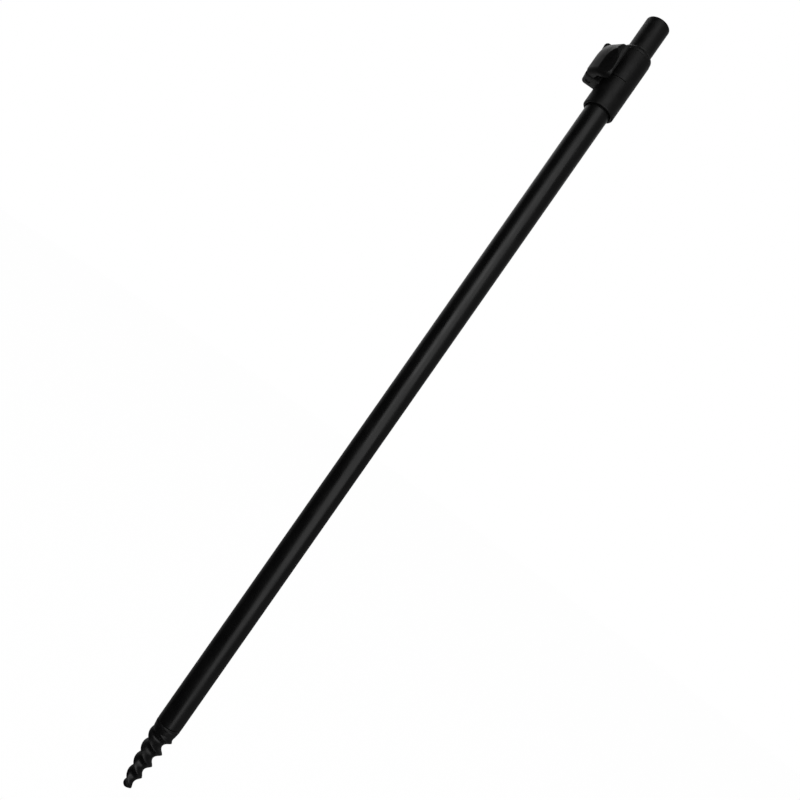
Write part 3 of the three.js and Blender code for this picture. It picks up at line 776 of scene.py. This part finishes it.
def tube_finish():
    look = finishes()
    return finish("tube_paint", look.tube_colour, look.tube_roughness, stretch=3.0, rub=0.25)


def point_finish():
    look = finishes()
    return finish(
        "point_coating", look.point_colour, look.point_roughness, bump=0.12, grain_scale=1400.0, rub=0.3
    )


def collar_finish():
    look = finishes()
    return finish(
        "collar_nylon",
        look.moulded_colour,
        look.collar_roughness,
        specular=0.42,
        bump=0.15,
        grain_scale=3000.0,
        rub=0.15,
    )


def lever_finish():
    look = finishes()
    return finish(
        "lever_nylon", look.moulded_colour, look.lever_roughness, bump=0.1, grain_scale=3000.0, rub=0.15
    )


def head_finish():
    look = finishes()
    return finish("head_paint", look.head_colour, look.head_roughness, bump=0.1, rub=0.3)


def bush_finish():
    look = finishes()
    return finish("bush_nylon", look.bush_colour, look.bush_roughness, bump=0.08, rub=0.1)


def steel_finish():
    look = finishes()
    return finish(
        "plain_steel",
        look.steel_colour,
        look.steel_roughness,
        metallic=1.0,
        rub=0.0,
        dust=0.02,
        stretch=0.05,
        bump=0.1,
    )


def black_steel_finish():
    look = finishes()
    return finish(
        "black_steel",
        look.black_steel_colour,
        look.black_steel_roughness,
        metallic=1.0,
        rub=0.3,
        dust=0.02,
        bump=0.06,
    )


def brass_finish():
    look = finishes()
    return finish(
        "plain_brass",
        look.brass_colour,
        look.brass_roughness,
        metallic=1.0,
        rub=0.0,
        dust=0.02,
        bump=0.06,
    )


def nylon_finish():
    look = finishes()
    return finish("inner_nylon", look.nylon_colour, look.nylon_roughness, bump=0.12, rub=0.1)


class StepOperator:
    """What every step of the build shares."""

    bl_options = {"REGISTER", "UNDO"}

    def execute(self, context):
        self.build()
        return {"FINISHED"}


class BANK_STICK_OT_outer_tube(StepOperator, bpy.types.Operator):
    """The outer tube, with its ends rounded over"""

    bl_idname = "bank_stick.outer_tube"
    bl_label = "Outer tube"

    def build(self):
        size = sizes()
        low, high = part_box("outer_tube")
        radius, edge, bore_edge = high.x, size.tube_edge, size.tube_bore_edge
        bore = radius - size.tube_wall
        outline = corner_arcs(
            [
                (bore, low.z, bore_edge),
                (radius, low.z, edge),
                (radius, high.z, edge),
                (bore, high.z, bore_edge),
            ],
            size.corner_steps,
        )
        tube = revolve("outer_tube_finished", stretched(outline, size.tube_rows), size.facets)
        place(tube, "stick", ["outer_tube"], tube_finish())


def point_rings(size):
    """Rows of the screw point: half widths, turn, section power and height at each ring.

    The half width grows from the tip as a power of the height. Over their last stretch the flights run
    smoothly into the round, which narrows downwards by the square of the depth under the shoulder. The
    nose opens as a power p of its height h, h to the p times 1 + p - p h, blunt at the very tip.
    """
    height = size.point_height * np.linspace(0, 1, size.point_rows) ** size.point_crowding
    up = np.minimum(height / size.point_flights, 1)
    crest = size.point_tip + (size.point_crest - size.point_tip) * up**size.point_taper
    nose = np.minimum(height / size.point_nose, 1)
    nose = nose**size.point_nose_power * (1 + size.point_nose_power * (1 - nose))
    run_out = np.clip((height - size.point_round + size.point_shoulder) / size.point_shoulder, 0, 1)
    rounded = run_out * run_out * (3 - 2 * run_out)
    below = np.minimum((size.point_height - height) / (size.point_height - size.point_round), 1)
    round_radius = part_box("outer_tube")[1].x - size.point_neck * below**2
    wide = (crest * (1 - rounded) + round_radius * rounded) * nose
    thin = (crest * size.point_thickness * (1 - rounded) + round_radius * rounded) * nose
    corner = size.point_corner * (1 - rounded) + 2 * rounded
    turn = -TURN * (height / size.point_lead + size.point_start)
    return wide, thin, turn, corner, height


class BANK_STICK_OT_screw_point(StepOperator, bpy.types.Operator):
    """The screw point: a bar twisted left-handed, with its shank"""

    bl_idname = "bank_stick.screw_point"
    bl_label = "Screw point"

    def build(self):
        size = sizes()
        wide, thin, turn, corner, height = point_rings(size)
        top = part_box("screw_point")[1].z
        shoulder, edge = size.point_height, size.point_shoulder_edge
        foot = shoulder - size.overrun
        shank = corner_arcs(
            [
                (wide[-1], foot, 0),
                (wide[-1], shoulder, edge),
                (size.shank_radius, shoulder, size.fine_edge),
                (size.shank_radius, top, size.shank_edge),
                (0, top, 0),
            ],
            size.corner_steps,
            closed=False,
        )
        keep = height < foot
        radii = np.stack([wide[keep], thin[keep]], 1)
        radii = np.concatenate([radii, np.repeat(shank[:, :1], 2, 1)])
        rise = np.concatenate([height[keep], shank[:, 1]])[:, None]
        turned = np.concatenate([turn[keep], np.interp(shank[:, 1], height, turn)])
        corner = np.concatenate([corner[keep], np.full(len(shank), 2.0)])[:, None]
        angle = np.arange(size.point_facets) / size.point_facets * TURN
        across, through = np.cos(angle)[None], np.sin(angle)[None]
        fin = 1 + size.point_edge * np.abs(across) ** size.point_edge_power * (rise < size.point_round)
        x = radii[:, :1] * np.sign(across) * np.abs(across) ** (2 / corner) * fin
        y = radii[:, 1:] * np.sign(through) * np.abs(through) ** (2 / corner)
        cos, sin = np.cos(turned)[:, None], np.sin(turned)[:, None]
        grid = np.stack([x * cos - y * sin, x * sin + y * cos, rise + 0 * angle], -1)
        point = surface("screw_point_finished", grid)
        place(point, "stick", ["screw_point"], point_finish())


class BANK_STICK_OT_collar(StepOperator, bpy.types.Operator):
    """The clamp collar: sleeve, lug, recess, pad window, slit and pin holes"""

    bl_idname = "bank_stick.collar"
    bl_label = "Collar"

    def build(self):
        size = sizes()
        low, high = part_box("collar")
        foot, top = low.z, high.z
        run, gap = size.overrun, size.fit_gap
        sleeve = revolve(
            "collar_finished",
            corner_arcs(
                [
                    (size.collar_bore, foot, size.collar_mouth),
                    (size.collar_radius, foot, size.collar_edge),
                    (size.collar_radius, top, size.collar_top_edge),
                    (size.collar_bore, top, size.fine_edge),
                ],
                size.corner_steps,
            ),
            size.facets,
        )
        lug_foot, lug_top = foot + size.lug_rise, top - size.lug_drop
        lug = rounded_block(
            "lug",
            (-size.lug_reach, -size.lug_front, lug_foot),
            (-size.collar_bore + size.lug_corner, size.lug_front, lug_top),
            (size.lug_corner, size.lug_edge, size.lug_corner),
            size.lug_steps,
        )
        combine(lug, [rod("bore", 0, 0, size.collar_bore, foot - run, top + run, size.facets)], "DIFFERENCE")
        pad_low, pad_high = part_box("pressure_pad")
        inner_end = max(-size.collar_radius, pad_low.x)
        recess = box_block(
            "recess",
            (-size.lug_reach - run, -size.lug_front - run, lug_foot + size.knuckle),
            (inner_end, size.lug_front - size.lug_back_wall, lug_top - size.knuckle),
        )
        window = box_block(
            "window",
            (-size.collar_radius - run, pad_low.y - gap, pad_low.z - gap),
            (-size.collar_bore + run, pad_high.y + gap, pad_high.z + gap),
        )
        slit_foot = foot + size.slit_height - size.slit_width / 2
        slit = box_block(
            "slit",
            (-size.collar_radius, -size.collar_radius - run, slit_foot),
            (size.slit_reach, -size.lug_front, slit_foot + size.slit_width),
        )
        hole_radius = size.pin_radius + gap
        hole_ends = (lug_foot - run, lug_top + run)
        hole = rod("hole", -size.pin_offset, 0, hole_radius, *hole_ends, size.hole_facets)
        collar = combine(combine(sleeve, [lug], "UNION"), [recess, window, slit, hole], "DIFFERENCE")
        soften(collar, size.collar_cut_edge, segments=2)
        place(collar, "stick", ["collar"], collar_finish())


class BANK_STICK_OT_collar_bush(StepOperator, bpy.types.Operator):
    """The bush in the collar's top, with its rounded flange"""

    bl_idname = "bank_stick.collar_bush"
    bl_label = "Collar bush"

    def build(self):
        size = sizes()
        low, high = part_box("collar_bush")
        flange_radius, flange_foot = high.x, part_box("collar")[1].z + size.bush_seam
        bush = revolve(
            "collar_bush_finished",
            corner_arcs(
                [
                    (size.bush_bore, low.z, size.bush_bore_edge),
                    (size.bush_radius, low.z, size.fine_edge),
                    (size.bush_radius, flange_foot, 0),
                    (flange_radius, flange_foot, size.fine_edge),
                    (flange_radius, high.z, size.bush_flange_edge),
                    (size.bush_bore, high.z, size.bush_bore_edge),
                ],
                size.corner_steps,
            ),
            size.facets,
        )
        pad_low, pad_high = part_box("pressure_pad")
        gap, run = size.fit_gap, size.overrun
        window = box_block(
            "bush_window",
            (-size.bush_radius - run, pad_low.y - gap, pad_low.z - gap),
            (-size.bush_bore + run, pad_high.y + gap, pad_high.z + gap),
        )
        combine(bush, [window], "DIFFERENCE")
        place(bush, "stick", ["collar_bush"], bush_finish())


def lever_plan(low, high, size):
    """The thumb piece seen from above: front face, lip at the front and hollowed inner side."""
    back = -size.lug_front - size.lever_gap
    outside = low.x - size.overrun
    ridge = low.y + size.ridge_drop
    lip, lip_back = high.x - size.lip_width, low.y + size.lip_depth
    throat = low.x + size.throat_in
    return corner_arcs(
        [
            (outside, back, 0),
            (outside, ridge, 0),
            (low.x + size.ridge_in, ridge, 0),
            (lip, low.y + size.lip_proud, size.crisp_edge),
            (lip, low.y, size.lip_crest),
            (high.x, low.y, size.lip_round),
            (high.x, lip_back, size.lip_heel),
            (lip, lip_back + size.lip_slope, size.lip_root),
            (throat + size.throat_slope, lip_back + size.throat_depth, size.throat_round),
            (throat, back, size.throat_edge),
        ],
        size.corner_steps,
    )


def lever_body(low, high, size):
    """The thumb piece's outer form, as outlines in X and Z set one in front of the other along Y.

    Towards the front, each outline's outer side moves in by a power of its depth, and its upper and
    lower ends close in by quarter circles. Its upper outer corner is a quarter oval, its lower one an
    arc.
    """
    back = -size.lug_front - size.lever_gap
    reach = back - low.y
    quarter = np.linspace(0, math.pi / 2, 3 * size.corner_steps + 1)
    right = high.x + size.overrun
    outlines = []
    for depth in np.linspace(0, reach, size.lever_rows):
        left = low.x + size.heel_sweep * (depth / reach) ** size.heel_power
        top_turn = max(0, 1 - (reach - depth) / size.lever_top_round)
        foot_turn = max(0, 1 - (reach - depth) / size.lever_foot_round)
        top = high.z - size.lever_top_round * (1 - math.sqrt(1 - top_turn**2))
        foot = low.z + size.lever_foot_round * (1 - math.sqrt(1 - foot_turn**2))
        x = [
            left + size.lever_corner * (1 - np.sin(quarter)),
            left + size.crown_width * (1 - np.cos(quarter)),
            np.array([right, right]),
        ]
        z = [
            foot + size.lever_corner * (1 - np.cos(quarter)),
            top - size.crown_height * (1 - np.sin(quarter)),
            np.array([top, foot]),
        ]
        x, z = np.concatenate(x), np.concatenate(z)
        outlines.append(np.stack([x, back - depth + 0 * x, z], -1))
    ends = [outlines[0].mean(0) + 0 * outlines[0], outlines[-1].mean(0) + 0 * outlines[-1]]
    return surface("lever_finished", np.stack([ends[0], *outlines, ends[1]]))


def lean(shell, low, high, size):
    """Leans the lip's inner edge outwards, so that the lip widens upwards.

    X less the lean times three shares: of the height, of the depth, and one that rises from the ridge to
    the lip's inner edge and falls to the lever's inner side.
    """
    mesh = shell.data
    points = np.zeros(len(mesh.vertices) * 3)
    mesh.vertices.foreach_get("co", points)
    points = points.reshape(-1, 3)
    back = -size.lug_front - size.lever_gap
    up = (points[:, 2] - low.z) / (high.z - low.z)
    ahead = (back - points[:, 1]) / (back - low.y)
    stops = [low.x + size.ridge_in, high.x - size.lip_width, high.x]
    points[:, 0] -= size.lip_lean * up * ahead * np.interp(points[:, 0], stops, [0, 1, 0])
    mesh.vertices.foreach_set("co", points.ravel())
    mesh.update()


class BANK_STICK_OT_lever(StepOperator, bpy.types.Operator):
    """The flip lever: thumb piece with its scoop and lip, web, hub and cam"""

    bl_idname = "bank_stick.lever"
    bl_label = "Lever"

    def build(self):
        size = sizes()
        low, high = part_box("lever")
        collar_low, collar_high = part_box("collar")
        hub_low = collar_low.z + size.lug_rise + size.knuckle + size.fit_gap
        hub_high = collar_high.z - size.lug_drop - size.knuckle - size.fit_gap
        run = size.overrun
        shell = lever_body(low, high, size)
        combine(shell, [prism("plan", lever_plan(low, high, size), low.z - run, high.z + run)], "INTERSECT")
        soften(shell, size.lever_edge, segments=4, angle=math.radians(40))
        scoop = ellipsoid(
            "scoop",
            (low.x - size.scoop_in, low.y - size.scoop_ahead, low.z + size.scoop_rise),
            (size.scoop_radius, size.scoop_radius, size.scoop_height),
            size.scoop_power,
            size.scoop_rows,
            size.scoop_facets,
        )
        combine(shell, [scoop], "DIFFERENCE")
        lean(shell, low, high, size)
        soften(shell, size.scoop_edge, angle=math.radians(30))
        pin = -size.pin_offset
        lobe_x = pin + size.hub_radius + size.cam_lift - size.cam_lobe
        hub = rod("hub", pin, 0, size.hub_radius, hub_low, hub_high, size.hub_facets)
        lobe = rod("lobe", lobe_x, 0, size.cam_lobe, hub_low, hub_high, size.hub_facets)
        web = box_block(
            "web",
            (pin - size.web / 2, -size.lug_front - size.lever_gap - run, hub_low),
            (pin + size.web / 2, 0, hub_high),
        )
        combine(hub, [lobe, web], "UNION")
        hole_radius = size.pin_radius + size.fit_gap
        hole = rod("hole", pin, 0, hole_radius, hub_low - run, hub_high + run, size.hole_facets)
        combine(hub, [hole], "DIFFERENCE")
        soften(hub, size.fine_edge, segments=2)
        lever = combine(shell, [hub], "UNION")
        place(lever, "flip_lever", ["lever"], lever_finish())


class BANK_STICK_OT_lever_pin(StepOperator, bpy.types.Operator):
    """The pin that the lever turns on, with domed ends"""

    bl_idname = "bank_stick.lever_pin"
    bl_label = "Lever pin"

    def build(self):
        size = sizes()
        low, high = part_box("lever_pin")
        outline = corner_arcs(
            [
                (0, low.z, 0),
                (size.pin_radius, low.z, size.pin_edge),
                (size.pin_radius, high.z, size.pin_edge),
                (0, high.z, 0),
            ],
            size.corner_steps,
            closed=False,
        )
        centre = (-size.pin_offset, 0)
        pin = revolve("lever_pin_finished", outline, size.pin_facets, centre, on_axis=True)
        place(pin, "stick", ["lever_pin"], black_steel_finish())


class BANK_STICK_OT_inner_tube(StepOperator, bpy.types.Operator):
    """The inner tube"""

    bl_idname = "bank_stick.inner_tube"
    bl_label = "Inner tube"

    def build(self):
        size = sizes()
        low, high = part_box("inner_tube")
        radius, edge = high.x, size.inner_edge
        bore = radius - size.inner_wall
        outline = corner_arcs(
            [(bore, low.z, edge), (radius, low.z, edge), (radius, high.z, edge), (bore, high.z, edge)],
            size.corner_steps,
        )
        tube = revolve("inner_tube_finished", stretched(outline, size.inner_rows), size.facets)
        place(tube, "inner_section", ["inner_tube"], tube_finish())


class BANK_STICK_OT_head(StepOperator, bpy.types.Operator):
    """The head: a turned sleeve that holds the threaded insert on the inner tube"""

    bl_idname = "bank_stick.head"
    bl_label = "Head"

    def build(self):
        size = sizes()
        low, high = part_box("head")
        insert_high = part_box("head_insert")[1]
        gap, edge = size.fit_gap, size.head_edge
        inner_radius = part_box("inner_tube")[1].x
        seat = low.z + size.head_skirt + gap
        flange_bore = insert_high.x + gap
        flange_seat = high.z - size.insert_flange - gap
        bore = size.insert_radius + gap
        outline = corner_arcs(
            [
                (inner_radius + gap, low.z, size.fine_edge),
                (high.x, low.z, edge),
                (high.x, high.z, edge),
                (flange_bore, high.z, size.fine_edge),
                (flange_bore, flange_seat, 0),
                (bore, flange_seat, size.crisp_edge),
                (bore, seat, 0),
                (inner_radius + gap, seat, 0),
            ],
            size.corner_steps,
        )
        head = revolve("head_finished", outline, size.facets)
        place(head, "inner_section", ["head"], head_finish())


class BANK_STICK_OT_head_insert(StepOperator, bpy.types.Operator):
    """The threaded insert in the head, with its thread cut as a real helix"""

    bl_idname = "bank_stick.head_insert"
    bl_label = "Head insert"

    def build(self):
        size = sizes()
        low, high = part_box("head_insert")
        flange_foot = high.z - size.insert_flange
        floor, mouth = high.z - size.socket_depth, high.z - size.lead_in
        outside = corner_arcs(
            [
                (0, low.z, 0),
                (size.insert_radius, low.z, size.insert_edge),
                (size.insert_radius, flange_foot, size.crisp_edge),
                (high.x, flange_foot, size.crisp_edge),
                (high.x, high.z, size.fine_edge),
                (size.socket_radius + size.lead_in, high.z, size.crisp_edge),
                (size.socket_radius, mouth, 0),
            ],
            size.corner_steps,
            closed=False,
        )
        rows, facets = size.thread_rows, size.thread_facets
        bore = np.stack([np.full(rows, size.socket_radius), np.linspace(mouth, floor, rows)], 1)
        outline = np.concatenate([outside, bore[1:], [[0, floor]]])
        angle = np.arange(facets) / facets
        # The bore's radius grows by the thread's depth as a wave of height less the turn. The groove's
        # middle and the crest are flat, and the wave fades out towards both ends of the bore.
        first = len(outside)
        last = first + rows - 1
        height = outline[first:last, 1:]
        wave = (height / size.thread_pitch - angle[None]) % 1
        cut = np.clip((size.thread_groove - np.abs(wave - 0.5)) / size.thread_flank, 0, 1)
        fade = np.clip((mouth - height) / size.thread_pitch, 0, 1)
        fade = fade * np.clip((height - floor) / size.thread_pitch, 0, 1)
        radius = np.repeat(outline[:, :1], facets, 1)
        radius[first:last] += size.thread_depth * cut * fade
        grid = np.stack(
            [
                radius * np.cos(angle * TURN),
                radius * np.sin(angle * TURN),
                np.repeat(outline[:, 1:], facets, 1),
            ],
            -1,
        )
        insert = surface("head_insert_finished", grid)
        place(insert, "inner_section", ["head_insert"], brass_finish())


class BANK_STICK_OT_inner_fittings(StepOperator, bpy.types.Operator):
    """Finishes of the fittings inside the tubes, which keep their own shapes"""

    bl_idname = "bank_stick.inner_fittings"
    bl_label = "Inner fittings"

    def build(self):
        for node, material in (
            ("point_socket", steel_finish()),
            ("guide_retainer", steel_finish()),
            ("inner_plug", nylon_finish()),
            ("guide_ring", nylon_finish()),
            ("pressure_pad", nylon_finish()),
        ):
            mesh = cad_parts[node].data
            mesh.materials.clear()
            mesh.materials.append(material)


def camera_axes(view):
    """The camera's right, up and back, with the stick leaning to the right in the picture."""
    lean = view.stick_lean
    right = (math.cos(lean), 0, math.sin(lean))
    up = (-math.sin(lean), 0, math.cos(lean))
    return np.array(right), np.array(up), np.array((0, -1, 0))


def oriented(right, up, back, position):
    """The matrix of an object at a position, from the ways that its own X, Y and Z point."""
    matrix = np.eye(4)
    matrix[:3, 0], matrix[:3, 1], matrix[:3, 2], matrix[:3, 3] = right, up, back, position
    return Matrix(matrix.tolist())


def lamp(name, width, height, watts, position, target, up):
    """A rectangular lamp that faces its target."""
    light = bpy.data.lights.new(name, "AREA")
    light.shape = "RECTANGLE"
    light.size, light.size_y = width, height
    light.energy = watts
    obj = bpy.data.objects.new(name, light)
    bpy.context.scene.collection.objects.link(obj)
    back = np.array(position) - np.array(target)
    back = back / np.linalg.norm(back)
    right = np.cross(up, back)
    right = right / np.linalg.norm(right)
    obj.matrix_world = oriented(right, np.cross(back, right), back, position)
    obj.visible_camera = False
    return obj


class BANK_STICK_OT_studio(StepOperator, bpy.types.Operator):
    """Floor, background, lamps and camera"""

    bl_idname = "bank_stick.studio"
    bl_label = "Studio"

    def build(self):
        view = studio()
        scene = bpy.context.scene
        scene.view_settings.view_transform = "Standard"
        right, up, back = camera_axes(view)
        eye = np.array((view.camera_side, -view.camera_distance, view.camera_height))
        camera = bpy.data.cameras.new("camera")
        camera.lens = view.lens
        camera.sensor_width = view.sensor
        camera.clip_start, camera.clip_end = view.clip_near, view.clip_far
        camera_object = bpy.data.objects.new("camera", camera)
        scene.collection.objects.link(camera_object)
        camera_object.matrix_world = oriented(right, up, back, eye)
        scene.camera = camera_object
        middle = np.array((0, 0, view.camera_height))
        front = middle + back * view.softbox_distance + up * view.softbox_rise
        front = front + right * view.softbox_side
        width, tall = view.softbox_width, view.softbox_height
        lamp("softbox", width, tall, view.softbox_power, front, front - back, up)
        core = middle + back * (view.softbox_distance - view.core_ahead)
        core = core + up * view.core_rise + right * view.core_side
        lamp("softbox_core", view.core_size, view.core_size, view.core_power, core, core - back, up)
        side = view.top_lamp_size
        above, target = view.top_lamp_place, view.top_lamp_target
        lamp("top_lamp", side, side, view.top_lamp_power, above, target, back)
        self.floor(view)
        self.world(view)

    def floor(self, view):
        """A pale floor under the tip, which the camera sees white but for the stick's faint shadow.

        What the camera sees is mostly a white glow and a little of the lit floor, and the glow's strength
        makes the two add up to white, so that the floor's edge is lost.
        """
        ring = np.array([[0, -view.floor_drop], [view.floor_radius, -view.floor_drop]])
        floor = revolve("floor", ring, view.floor_facets, on_axis=True)
        material = bpy.data.materials.new("studio_floor")
        material.use_nodes = True
        tree = Tree(material.node_tree)
        pale = tree.node("ShaderNodeBsdfDiffuse")
        pale.inputs["Color"].default_value = rgba([view.floor_white] * 3)
        white = tree.node("ShaderNodeEmission")
        white.inputs["Strength"].default_value = view.floor_glow
        seen = tree.node("ShaderNodeLightPath")
        blend = tree.node("ShaderNodeMixShader")
        tree.join(tree.math("MULTIPLY", seen.outputs["Is Camera Ray"], view.glow_share), blend.inputs[0])
        tree.join(pale.outputs[0], blend.inputs[1])
        tree.join(white.outputs[0], blend.inputs[2])
        mirrored = tree.math("MAXIMUM", seen.outputs["Is Glossy Ray"], seen.outputs["Is Transmission Ray"])
        through = tree.node("ShaderNodeMixShader")
        tree.join(tree.math("MAXIMUM", mirrored, seen.outputs["Is Shadow Ray"]), through.inputs[0])
        tree.join(blend.outputs[0], through.inputs[1])
        tree.join(tree.node("ShaderNodeBsdfTransparent").outputs[0], through.inputs[2])
        tree.join(through.outputs[0], tree.node("ShaderNodeOutputMaterial").inputs["Surface"])
        floor.data.materials.append(material)

    def world(self, view):
        """White to the camera and a dim even light to everything else, but for what the stick mirrors.

        It mirrors a room that is white straight behind it, falls off to the sides as two wings, brighter
        upwards and dimmer towards the right, and has a faint glow at its right end.
        """
        world = bpy.data.worlds.new("studio")
        bpy.context.scene.world = world
        world.use_nodes = True
        tree = Tree(world.node_tree)
        seen = tree.node("ShaderNodeLightPath")
        way = tree.node("ShaderNodeSeparateXYZ")
        tree.join(tree.node("ShaderNodeTexCoord").outputs["Generated"], way.inputs[0])
        room = tree.spread(way.outputs["X"], view.room_left, view.room_right, 0.0, view.room_glow)
        height = tree.math("MULTIPLY_ADD", way.outputs["Z"], view.wing_rise, view.wing_middle)
        height = tree.math("MAXIMUM", height, view.wing_low)
        side = tree.spread(way.outputs["X"], -view.wing_turn, view.wing_turn, 1.0, view.wing_dim)
        wings = tree.math("MULTIPLY_ADD", way.outputs["Y"], view.wing_slope, view.wing_start)
        wings = tree.math("MULTIPLY", tree.math("MULTIPLY", wings, height), side)
        behind = tree.math("MAXIMUM", wings, tree.spread(way.outputs["Y"], view.white_behind, 1.0))
        mirror_level = tree.math("MAXIMUM", room, behind)
        mirrored = tree.math("MAXIMUM", seen.outputs["Is Glossy Ray"], seen.outputs["Is Transmission Ray"])
        plain = tree.math("MULTIPLY", tree.math("SUBTRACT", 1.0, mirrored), view.ambient)
        strength = tree.math("ADD", tree.math("MULTIPLY", mirrored, mirror_level), plain)
        strength = tree.math("MAXIMUM", strength, seen.outputs["Is Camera Ray"])
        light = tree.node("ShaderNodeBackground")
        light.inputs["Color"].default_value = (1, 1, 1, 1)
        tree.join(strength, light.inputs["Strength"])
        tree.join(light.outputs[0], tree.node("ShaderNodeOutputWorld").inputs["Surface"])


STEPS = (
    BANK_STICK_OT_outer_tube,
    BANK_STICK_OT_screw_point,
    BANK_STICK_OT_collar,
    BANK_STICK_OT_collar_bush,
    BANK_STICK_OT_lever,
    BANK_STICK_OT_lever_pin,
    BANK_STICK_OT_inner_tube,
    BANK_STICK_OT_head,
    BANK_STICK_OT_head_insert,
    BANK_STICK_OT_inner_fittings,
    BANK_STICK_OT_studio,
)


class BANK_STICK_PT_panel(bpy.types.Panel):
    """Lists the sizes, the finishes and the steps of the build"""

    bl_label = "Bank stick"
    bl_idname = "BANK_STICK_PT_panel"
    bl_space_type = "VIEW_3D"
    bl_region_type = "UI"
    bl_category = "Bank stick"

    def draw(self, context):
        scene = context.scene
        for group in (scene.bank_stick_sizes, scene.bank_stick_finishes, scene.bank_stick_studio):
            box = self.layout.box()
            for name in group.bl_rna.properties.keys():
                if name not in ("rna_type", "name"):
                    box.prop(group, name)
        for step in STEPS:
            self.layout.operator(step.bl_idname, text=step.bl_label)


CLASSES = (BANK_STICK_PG_sizes, BANK_STICK_PG_finishes, BANK_STICK_PG_studio, *STEPS, BANK_STICK_PT_panel)


def register():
    for item in CLASSES:
        bpy.utils.register_class(item)
    bpy.types.Scene.bank_stick_sizes = PointerProperty(type=BANK_STICK_PG_sizes)
    bpy.types.Scene.bank_stick_finishes = PointerProperty(type=BANK_STICK_PG_finishes)
    bpy.types.Scene.bank_stick_studio = PointerProperty(type=BANK_STICK_PG_studio)


def unregister():
    del bpy.types.Scene.bank_stick_studio
    del bpy.types.Scene.bank_stick_finishes
    del bpy.types.Scene.bank_stick_sizes
    for item in reversed(CLASSES):
        bpy.utils.unregister_class(item)


def main():
    register()
    for step in STEPS:
        group, name = step.bl_idname.split(".")
        getattr(getattr(bpy.ops, group), name)()


if __name__ == "__main__":
    main()
